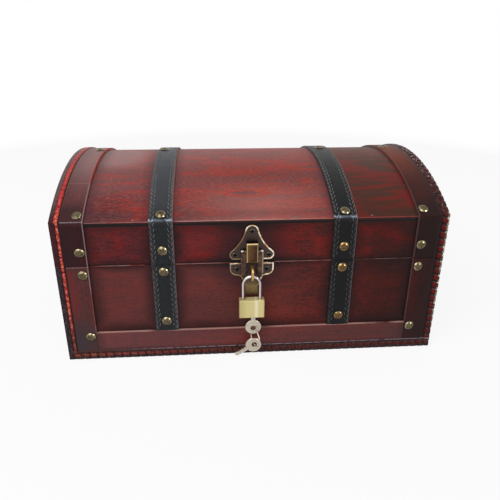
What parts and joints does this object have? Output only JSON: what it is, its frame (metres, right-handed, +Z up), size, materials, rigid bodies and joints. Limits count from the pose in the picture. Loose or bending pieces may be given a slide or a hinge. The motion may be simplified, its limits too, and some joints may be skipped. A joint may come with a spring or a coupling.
{
  "type": "treasure chest box",
  "caption": "Wooden keepsake chest with a curved lid, notched edge mouldings, leather straps, domed nails, a hasp and a small brass padlock with its keys.",
  "frame": {"origin": "middle of the flat underside of the base, on the surface it stands on", "axes": "+X along the length to the right as seen from the front, +Y towards the back with the hasp on the -Y face, +Z up"},
  "size_m": [0.3, 0.2179, 0.1464],
  "materials": {
    "board_wood": "cherry red stained wood, antiqued dark towards the edges, satin lacquer",
    "skin_wood": "cherry red stained veneer with a streaked figure, satin lacquer",
    "band_wood": "brown red stained strips with worn lighter edges, satin lacquer",
    "moulding_wood": "notched strips, dark stain with rubbed red crests",
    "black_leather": "black strap leather with grey stitching and tan cut edges",
    "nail_brass": "antiqued brass, darkened towards the rim",
    "pin_steel": "small bright pin heads",
    "antique_brass": "antique bronze plating, rubbed bright on its edges",
    "dark_screws": "blackened screws",
    "padlock_brass": "brushed yellow brass",
    "shackle_steel": "bright plated steel wire",
    "key_nickel": "nickel plated, softly polished"
  },
  "bodies": {
    "base": {"base_back_board": "board_wood", "base_band_front_left": "band_wood", "base_band_front_right": "band_wood", "base_bands_back": "band_wood", "base_corner_moulding_front_left": "moulding_wood", "base_corner_moulding_front_right": "moulding_wood", "base_corner_mouldings_back": "moulding_wood", "base_floor": "board_wood", "base_front_board": "board_wood", "base_left_end": "board_wood", "base_nails": "nail_brass", "base_right_end": "board_wood", "base_strap_front_left": "black_leather", "base_strap_front_right": "black_leather", "base_straps_back": "black_leather", "bottom_moulding_back": "moulding_wood", "bottom_moulding_front": "moulding_wood", "bottom_moulding_left": "moulding_wood", "bottom_moulding_right": "moulding_wood", "front_bottom_rail": "band_wood", "hinge_base_leaf_left": "antique_brass", "hinge_base_leaf_right": "antique_brass", "hinge_base_screws": "dark_screws", "hinge_pins": "antique_brass", "latch_base_plate": "antique_brass", "latch_base_screws": "dark_screws", "latch_staple": "antique_brass"},
    "lid": {"hinge_lid_leaf_left": "antique_brass", "hinge_lid_leaf_right": "antique_brass", "hinge_lid_screws": "dark_screws", "latch_bridge": "antique_brass", "latch_lid_plate": "antique_brass", "latch_lid_screws": "dark_screws", "lid_arch_band_left_front": "band_wood", "lid_arch_band_left_top": "band_wood", "lid_arch_band_right": "band_wood", "lid_arch_moulding_left": "moulding_wood", "lid_arch_moulding_right": "moulding_wood", "lid_back_rim": "board_wood", "lid_corner_moulding_front_left": "moulding_wood", "lid_corner_moulding_front_right": "moulding_wood", "lid_corner_mouldings_back": "moulding_wood", "lid_curved_skin": "skin_wood", "lid_front_rim": "board_wood", "lid_left_end": "board_wood", "lid_nails": "nail_brass", "lid_right_end": "board_wood", "lid_rim_band_front_left": "band_wood", "lid_rim_band_front_right": "band_wood", "lid_rim_bands_back": "band_wood", "lid_strap_left": "black_leather", "lid_strap_right": "black_leather", "skin_pins": "pin_steel"},
    "hasp": {"hasp_leaf": "antique_brass"},
    "padlock": {"padlock_body": "padlock_brass"},
    "shackle": {"padlock_shackle": "shackle_steel"},
    "key": {"key_in_lock": "key_nickel", "padlock_plug": "padlock_brass"},
    "ring": {"key_ring": "key_nickel"},
    "spare": {"spare_key": "key_nickel"}
  },
  "joints": [
    {"name": "lid_hinge", "type": "hinge", "parent": "base", "child": "lid", "pos_m": [0, 0.1006, 0.083], "axis": [-1, 0, 0], "range_deg": [0, 105]},
    {"name": "hasp_swing", "type": "hinge", "parent": "lid", "child": "hasp", "pos_m": [-0.00175, -0.1002, 0.093], "axis": [-1, 0, 0], "range_deg": [0, 150]},
    {"name": "padlock_swing", "type": "hinge", "parent": "base", "child": "padlock", "pos_m": [-0.00225, -0.105, 0.0742], "axis": [-1, 0, 0], "range_deg": [0, 70]},
    {"name": "shackle_lift", "type": "slide", "parent": "padlock", "child": "shackle", "axis": [0, 0, 1], "range_m": [0, 0.0035]},
    {"name": "key_turn", "type": "hinge", "parent": "padlock", "child": "key", "pos_m": [-0.00085, -0.105, 0.0392], "axis": [0, 0, 1], "range_deg": [0, 25]},
    {"name": "ring_swing", "type": "hinge", "parent": "key", "child": "ring", "pos_m": [-0.0003, -0.105, 0.0274], "axis": [0, 1, 0], "range_deg": [0, 25]},
    {"name": "spare_key_swing", "type": "hinge", "parent": "ring", "child": "spare", "pos_m": [-0.0003, -0.105, 0.0132], "axis": [0, 1, 0], "range_deg": [0, 40]}
  ]
}
